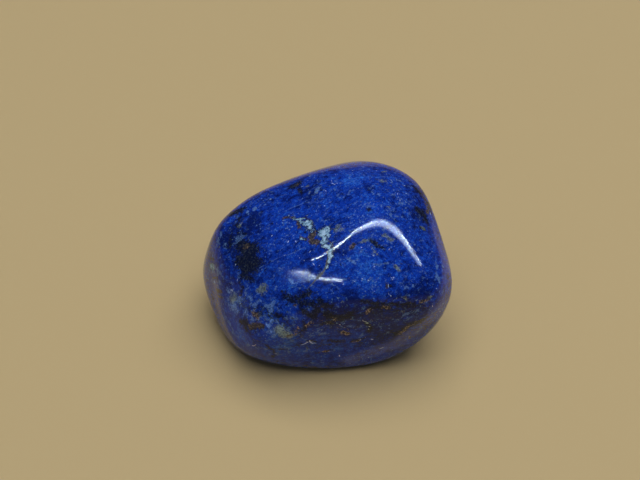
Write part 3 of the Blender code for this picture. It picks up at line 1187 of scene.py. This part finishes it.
def crumbly_marks(shader, settings, rock, colour):
    """Lays the soft clouding, the dark patches and the pale and brown crumbs over a colour."""
    haze = (shader.field("haze") + rock.edge * 0.8 + (rock.blobs - 0.5) * 5.0).step(0.1, 0.9) * 0.9
    # The pale field brightens the clouding: painted fill light low on the left and on the left strip, and a
    # painted highlight at the lower hazy highlight
    pale = shader.field("pale").step(0.0, 1.0, start=0.8, end=1.5)
    cloud = shader.dim(settings.bloom, rock.crumbs.step(0.35, 0.65, start=0.45, end=1.9) * pale)
    colour = shader.blend(haze, colour, cloud)
    colour = shader.blend(rock.murk, colour, shader.blend(rock.light * 0.8, settings.black, settings.soot))
    olive = (shader.field("olive") + rock.edge * 1.2).step(0.0, 0.8) * 0.75
    # The olive and the gold crumbs are brightened by the painted fill light low on the stone
    moss = shader.dim(settings.olive, rock.grit.step(0.35, 0.65, start=0.3, end=1.6) * rock.lift)
    colour = shader.blend(olive, colour, moss)
    rust = (shader.field("rust") + rock.edge).step(-0.1, 0.5) * 0.95
    brown = shader.blend(rock.light, settings.umber, shader.dim(settings.gold, rock.lift))
    return shader.blend(rust, colour, brown)


def pale_vein(shader, settings, rock, colour):
    """Lays the pale vein, with its dark rim, over a colour."""
    chalk = shader.field("chalk")
    rim = (chalk + rock.edge).step(-0.9, -0.1) * 0.55
    colour = shader.blend(rim, colour, shader.blend(rock.light, settings.black, settings.soot))
    salt = rock.crumbs * 0.7 + rock.grit * 0.3 + chalk * 0.07
    vein = shader.blend(salt.step(0.47, 0.55), settings.umber, settings.teal)
    vein = shader.blend(salt.step(0.55, 0.66), vein, settings.chalk)
    return shader.blend(rock.vein, colour, vein)


def thin_grains(shader, settings, rock, colour):
    """Lays the white grains, the scratches and the crack over a colour."""
    glints = shader.grains("glint", wobble=rock.edge * 0.25, low=0.2, high=1.0)
    # Low on the stone the white grains turn whiter, as painted fill light
    white = shader.blend(rock.lift.step(1.5, 3.0), settings.glint, settings.white_and_painted_fill)
    colour = shader.blend(glints, colour, white)
    scratches = shader.grains("scratch", wobble=rock.edge * 0.4, low=0.5, high=1.5) * 0.3
    colour = shader.blend(scratches, colour, settings.teal)
    filling = shader.blend(rock.light * 0.35, settings.umber, settings.olive)
    return shader.blend(rock.crack, colour, filling)


def lapis_material():
    settings = bpy.context.scene.lapis_stone
    shader = Shader(bpy.data.materials.new("polished_lapis"))
    rock = rock_patterns(shader, settings)

    # These act on more than one layer, or on the polish as well.
    # Painted fill light, which makes crumbs and white grains paler on the faces low on the stone that the
    # lamps light less
    rock.lift = shader.field("lift").step(0.0, 1.0, start=1.0, end=3.1)
    rock.murk = (shader.field("murk") + rock.edge * 1.2).step(-0.2, 0.5) * 0.95
    rock.vein = (shader.field("chalk") + rock.edge * 1.1).step(-0.15, 0.45)
    rock.crack = shader.grains("crack", wobble=rock.edge * 0.5, low=0.5, high=1.2) * 0.9

    colour = blue_rock(shader, settings, rock)
    colour = crumbly_marks(shader, settings, rock, colour)
    colour = pale_vein(shader, settings, rock, colour)
    colour = thin_grains(shader, settings, rock, colour)

    dull = (shader.field("dull") + rock.edge).step(-0.2, 0.8) * 0.14
    roughness = dull + rock.vein * 0.25 + rock.murk * 0.03 + rock.crack * 0.3 + settings.polish
    surface = shader.tree.nodes["Principled BSDF"].inputs
    shader.feed(surface["Base Color"], colour)
    shader.feed(surface["Roughness"], roughness)
    shader.feed(surface["Coat Weight"], shader.field("gloss").step(0.0, 1.0))
    surface["Specular IOR Level"].default_value = settings.shine
    texture = {"Strength": settings.texture_share, "Distance": settings.texture_depth, "Height": rock.crumbs}
    shader.feed(surface["Normal"], shader.add("ShaderNodeBump", {}, texture).outputs["Normal"])
    return shader.owner


class LAPIS_OT_stone(bpy.types.Operator):
    """Models the stone's polished surface on the solid and gives it its finish"""

    bl_idname = "lapis.stone"
    bl_label = "Add Stone"

    def execute(self, context):
        stone = make_surface()
        paint_marks(stone)
        paint_zones(stone)
        paint_grains(stone, "glint", GLINTS)
        paint_grains(stone, "scratch", SCRATCHES)
        paint_grains(stone, "crack", CRACK)
        stone.data.materials.clear()
        stone.data.materials.append(lapis_material())
        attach(stone, "root")
        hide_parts(STONE_NODE)
        return {"FINISHED"}


# ---------------------------------------------------------------------------------------------------------
# Panel, registration and main
# ---------------------------------------------------------------------------------------------------------


class LAPIS_PT_panel(bpy.types.Panel):
    """Lists the stone's and the stage's settings and buttons"""

    bl_idname = "LAPIS_PT_panel"
    bl_label = "Lapis Stone"
    bl_space_type = "VIEW_3D"
    bl_region_type = "UI"
    bl_category = "Lapis"

    def draw(self, context):
        for group, button in (("lapis_stage", "lapis.stage"), ("lapis_stone", "lapis.stone")):
            settings = getattr(context.scene, group)
            column = self.layout.column()
            for name in settings.__annotations__:
                column.prop(settings, name)
            column.operator(button)


CLASSES = (LapisStoneSettings, LapisStageSettings, LAPIS_OT_stage, LAPIS_OT_stone, LAPIS_PT_panel)


def register():
    for cls in CLASSES:
        bpy.utils.register_class(cls)
    bpy.types.Scene.lapis_stone = PointerProperty(type=LapisStoneSettings)
    bpy.types.Scene.lapis_stage = PointerProperty(type=LapisStageSettings)


def unregister():
    del bpy.types.Scene.lapis_stage
    del bpy.types.Scene.lapis_stone
    for cls in reversed(CLASSES):
        bpy.utils.unregister_class(cls)


def main():
    register()
    bpy.ops.lapis.stage()
    bpy.ops.lapis.stone()


if __name__ == "__main__":
    main()
